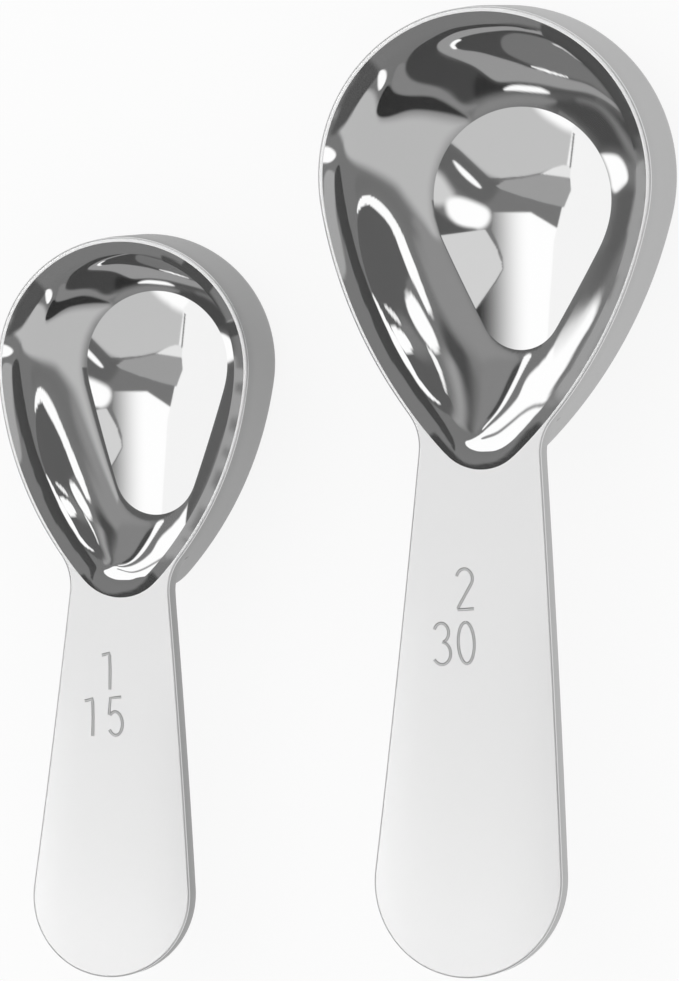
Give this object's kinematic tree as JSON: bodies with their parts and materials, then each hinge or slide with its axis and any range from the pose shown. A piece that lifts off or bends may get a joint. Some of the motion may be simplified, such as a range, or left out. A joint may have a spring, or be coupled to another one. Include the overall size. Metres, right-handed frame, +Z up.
{
  "type": "measuring spoon set",
  "caption": "Flat-based stainless steel measuring spoons, thirty and fifteen millilitre, with deep egg-shaped bowls and short broad handles.",
  "frame": {"origin": "on the ground in the flat base of the 30 ml spoon, under the centre of its bowl's front curve", "axes": "+Z up out of the bowls, +Y from the handles to the bowls, +X to the right with the 15 ml spoon on the -X side"},
  "size_m": [0.0891, 0.1292, 0.026],
  "materials": {
    "stainless_steel": "mirror polished inside the bowls, fine satin on the handles and outside"
  },
  "bodies": {
    "large_spoon": {"spoon_30ml": "stainless_steel"},
    "small_spoon": {"spoon_15ml": "stainless_steel"}
  },
  "joints": [
    {"name": "small_spoon_lift", "type": "slide", "parent": "large_spoon", "child": "small_spoon", "axis": [0, 0, 1], "range_m": [0, 0.08]}
  ]
}
